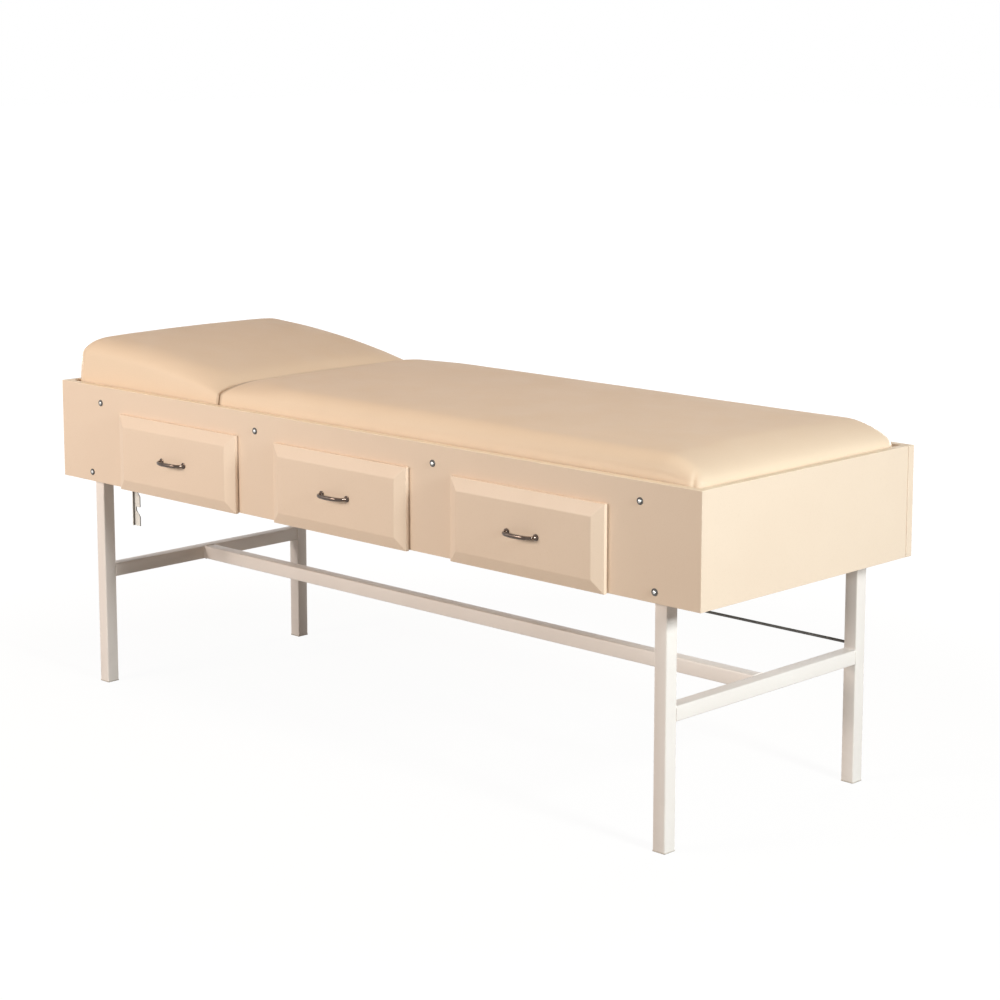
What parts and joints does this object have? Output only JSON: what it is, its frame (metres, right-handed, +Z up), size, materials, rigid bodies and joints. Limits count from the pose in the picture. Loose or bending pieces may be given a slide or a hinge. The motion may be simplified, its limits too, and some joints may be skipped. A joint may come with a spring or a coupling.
{
  "type": "examination table with drawers",
  "caption": "Examination table on square tube legs: long vinyl pad, tilting wedge head section on ratchet struts, panelled case and drawers with bow handles below it.",
  "frame": {"origin": "on the floor under the middle of the table's overall box, handles included", "axes": "+X along the table from the head end to the foot end, +Z up, drawers open towards -Y"},
  "size_m": [1.9, 0.6934, 0.799],
  "materials": {
    "cream_laminate": "cream laminate on board, satin",
    "cream_tube": "cream powder coat on steel tube, satin",
    "beige_vinyl": "beige upholstery vinyl, fine grain",
    "plain_board": "plain board, sanded",
    "dark_nickel": "polished dark nickel plate",
    "zinc_steel": "zinc plated",
    "plug_plastic": "pale moulded plastic",
    "dark_rod": "dark painted steel rod"
  },
  "bodies": {
    "table": {"front_left_leg": "cream_tube", "front_right_leg": "cream_tube", "rear_left_leg": "cream_tube", "rear_right_leg": "cream_tube", "foot_plugs": "plug_plastic", "head_cross_bar": "cream_tube", "foot_cross_bar": "cream_tube", "long_stretcher": "cream_tube", "rear_tie_rod": "dark_rod", "front_top_rail": "cream_tube", "rear_top_rail": "cream_tube", "head_end_rail": "cream_tube", "foot_end_rail": "cream_tube", "hinge_cross_rail": "cream_tube", "mid_cross_rail": "cream_tube", "catch_rod": "zinc_steel", "front_panel": "cream_laminate", "rear_panel": "cream_laminate", "foot_end_panel": "cream_laminate", "head_end_panel": "cream_laminate", "corner_brackets": "zinc_steel", "bay_dividers": "plain_board", "slide_channels": "zinc_steel", "main_board": "plain_board", "main_cushion": "beige_vinyl", "hinge_ears": "zinc_steel", "hinge_pins": "zinc_steel"},
    "headrest": {"head_board": "plain_board", "head_cushion": "beige_vinyl", "hinge_arms": "zinc_steel", "strut_brackets": "zinc_steel"},
    "struts": {"front_strut": "zinc_steel", "rear_strut": "zinc_steel", "strut_rod": "zinc_steel"},
    "left_drawer": {"left_drawer_front": "cream_laminate", "left_drawer_handle": "dark_nickel", "left_drawer_sides": "plain_board", "left_drawer_bottom": "plain_board", "left_drawer_back": "plain_board", "left_slide_runners": "zinc_steel"},
    "left_slides": {"left_slide_middles": "zinc_steel"},
    "middle_drawer": {"middle_drawer_front": "cream_laminate", "middle_drawer_handle": "dark_nickel", "middle_drawer_sides": "plain_board", "middle_drawer_bottom": "plain_board", "middle_drawer_back": "plain_board", "middle_slide_runners": "zinc_steel"},
    "middle_slides": {"middle_slide_middles": "zinc_steel"},
    "right_drawer": {"right_drawer_front": "cream_laminate", "right_drawer_handle": "dark_nickel", "right_drawer_sides": "plain_board", "right_drawer_bottom": "plain_board", "right_drawer_back": "plain_board", "right_slide_runners": "zinc_steel"},
    "right_slides": {"right_slide_middles": "zinc_steel"}
  },
  "joints": [
    {"name": "headrest_tilt", "type": "hinge", "parent": "table", "child": "headrest", "pos_m": [-0.389, 0, 0.722], "axis": [0, 1, 0], "range_deg": [0, 35]},
    {"name": "strut_swing", "type": "hinge", "parent": "headrest", "child": "struts", "pos_m": [-0.7775, 0, 0.66], "axis": [0, 1, 0], "range_deg": [-27.5, 0]},
    {"name": "left_drawer_slide", "type": "slide", "parent": "table", "child": "left_drawer", "axis": [0, -1, 0], "range_m": [0, 0.43]},
    {"name": "left_slide_follow", "type": "slide", "parent": "table", "child": "left_slides", "axis": [0, -1, 0], "range_m": [0, 0.215]},
    {"name": "middle_drawer_slide", "type": "slide", "parent": "table", "child": "middle_drawer", "axis": [0, -1, 0], "range_m": [0, 0.43]},
    {"name": "middle_slide_follow", "type": "slide", "parent": "table", "child": "middle_slides", "axis": [0, -1, 0], "range_m": [0, 0.215]},
    {"name": "right_drawer_slide", "type": "slide", "parent": "table", "child": "right_drawer", "axis": [0, -1, 0], "range_m": [0, 0.43]},
    {"name": "right_slide_follow", "type": "slide", "parent": "table", "child": "right_slides", "axis": [0, -1, 0], "range_m": [0, 0.215]}
  ],
  "couplings": [
    {"joint": "strut_swing", "follows": "headrest_tilt", "ratio": -0.77},
    {"joint": "left_slide_follow", "follows": "left_drawer_slide", "ratio": 0.5},
    {"joint": "middle_slide_follow", "follows": "middle_drawer_slide", "ratio": 0.5},
    {"joint": "right_slide_follow", "follows": "right_drawer_slide", "ratio": 0.5}
  ]
}
